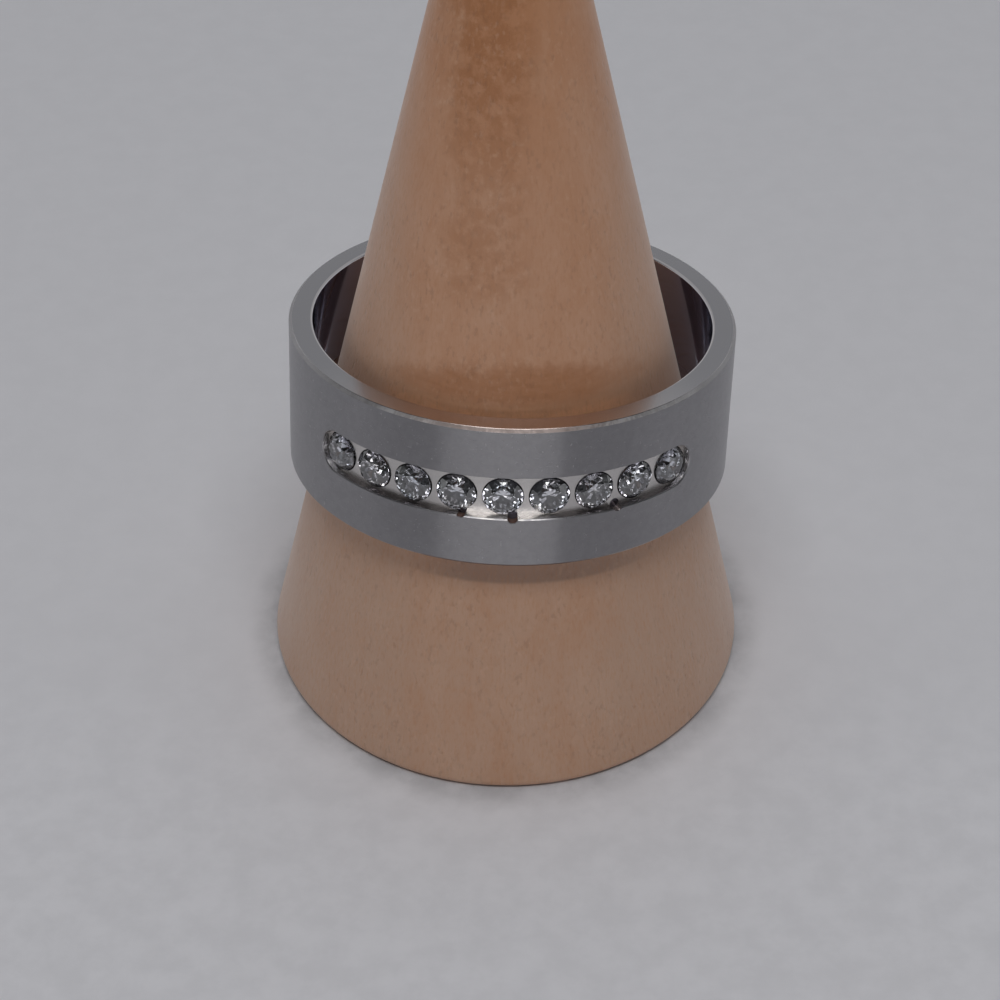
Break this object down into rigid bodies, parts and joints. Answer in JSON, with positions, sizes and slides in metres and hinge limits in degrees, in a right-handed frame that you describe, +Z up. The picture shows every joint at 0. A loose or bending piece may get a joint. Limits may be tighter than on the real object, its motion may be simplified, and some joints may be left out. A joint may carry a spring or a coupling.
{
  "type": "titanium ring on wooden cone stand",
  "caption": "Flat satin titanium band with a row of small clear round stones sunk in a milled channel, seated slightly tilted on a plain turned wooden cone.",
  "frame": {"origin": "middle of the cone stand's flat foot, on the surface it stands on", "axes": "+Z up along the cone's axis, -Y towards the row of stones, +X to the row's right as seen from the front"},
  "size_m": [0.0256, 0.0259, 0.0512],
  "materials": {
    "titanium": "fine satin brushed round the band, polished bore",
    "clear_stone": "polished facets",
    "wood": "sanded bare wood with fine flecks"
  },
  "bodies": {
    "root": {"band": "titanium", "stone_1": "clear_stone", "stone_2": "clear_stone", "stone_3": "clear_stone", "stone_4": "clear_stone", "stone_5": "clear_stone", "stone_6": "clear_stone", "stone_7": "clear_stone", "stone_8": "clear_stone", "stone_9": "clear_stone", "cone_stand": "wood"}
  },
  "joints": []
}
